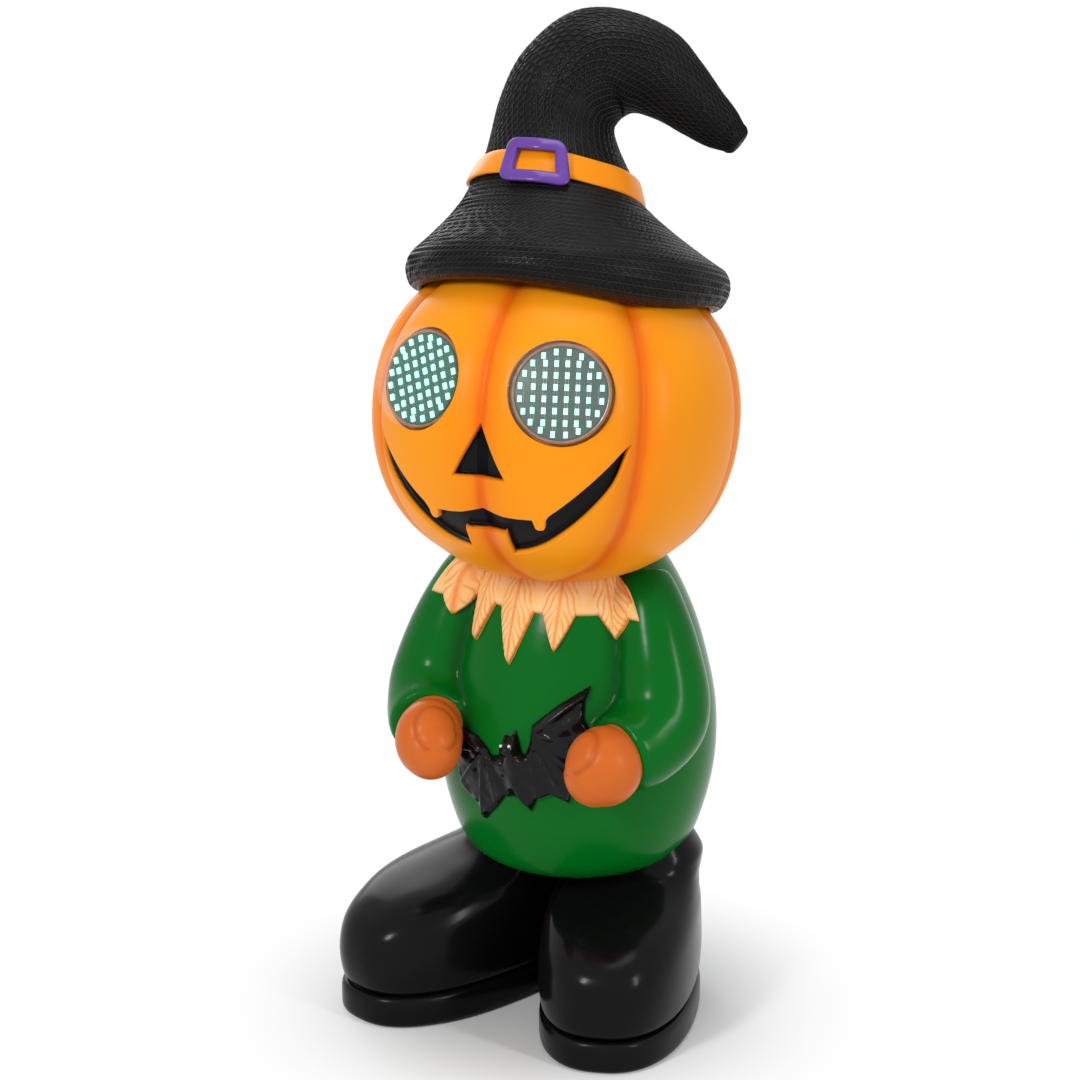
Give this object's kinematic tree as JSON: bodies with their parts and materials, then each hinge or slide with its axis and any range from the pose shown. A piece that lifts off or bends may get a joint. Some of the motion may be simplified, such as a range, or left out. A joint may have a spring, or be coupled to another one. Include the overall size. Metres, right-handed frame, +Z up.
{
  "type": "animated witch figure",
  "caption": "Battery-lit standing figure with a jack-o-lantern head, curled witch hat, LED matrix eyes, leaf collar, bat ornament and big boots.",
  "frame": {"origin": "centre of the bounding box, on the ground that the soles stand on", "axes": "+Z up along the figure, -Y the way the face looks, +X to the left of the figure"},
  "size_m": [0.2286, 0.2228, 0.5942],
  "materials": {
    "hat_weave": "moulded coarse weave, satin black",
    "band_orange": "gloss paint",
    "buckle_purple": "gloss paint, rubbed edges",
    "pumpkin_orange": "satin paint, redder in the grooves",
    "liner_black": "matte black",
    "clear_lens": "clear moulded plastic",
    "board_green": "solder mask",
    "led_white": "lit diffuser",
    "hidden_black": "plain moulding",
    "screw_steel": "zinc plated",
    "hand_brown": "satin paint",
    "boot_black": "gloss paint",
    "sole_black": "gloss paint",
    "body_green": "gloss paint",
    "leaf_cream": "cream paint with orange veins",
    "bat_black": "gloss paint",
    "contact_steel": "nickel plated spring steel",
    "cell_jacket": "plain sleeve",
    "component_black": "moulded packages",
    "knob_black": "fine texture",
    "cable_black": "smooth sheath"
  },
  "bodies": {
    "figure": {"bat_ornament": "bat_black", "battery_box": "hidden_black", "battery_cells": "cell_jacket", "battery_contacts": "contact_steel", "battery_lead": "cable_black", "bezel_screws": "screw_steel", "board_components": "component_black", "board_screws": "screw_steel", "body_shell": "body_green", "controller_board": "board_green", "door_hinge_pin": "screw_steel", "foot_bolts": "screw_steel", "foot_nuts": "screw_steel", "hat_band": "band_orange", "hat_buckle": "buckle_purple", "hat_shell": "hat_weave", "head_shell": "pumpkin_orange", "leaf_collar": "leaf_cream", "left_boot": "boot_black", "left_eye_cup": "hidden_black", "left_eye_lead": "cable_black", "left_eye_lens": "clear_lens", "left_eye_screws": "screw_steel", "left_hand": "hand_brown", "left_led_array": "led_white", "left_led_board": "board_green", "left_sole": "sole_black", "mouth_liner": "liner_black", "neck_nut": "hidden_black", "neck_tube": "hidden_black", "nose_liner": "liner_black", "right_boot": "boot_black", "right_eye_cup": "hidden_black", "right_eye_lead": "cable_black", "right_eye_lens": "clear_lens", "right_eye_screws": "screw_steel", "right_hand": "hand_brown", "right_led_array": "led_white", "right_led_board": "board_green", "right_sole": "sole_black", "switch_body": "component_black", "switch_lead": "cable_black", "switch_screws": "screw_steel"},
    "battery_door": {"battery_door": "hidden_black"},
    "switch_knob": {"switch_knob": "knob_black"}
  },
  "joints": [
    {"name": "door_hinge", "type": "hinge", "parent": "figure", "child": "battery_door", "pos_m": [0.00835, 0.10877, 0.1294], "axis": [-1, 0, 0], "range_deg": [0, 110]},
    {"name": "power_slide", "type": "slide", "parent": "figure", "child": "switch_knob", "axis": [1, 0, 0], "range_m": [0, 0.004]}
  ]
}
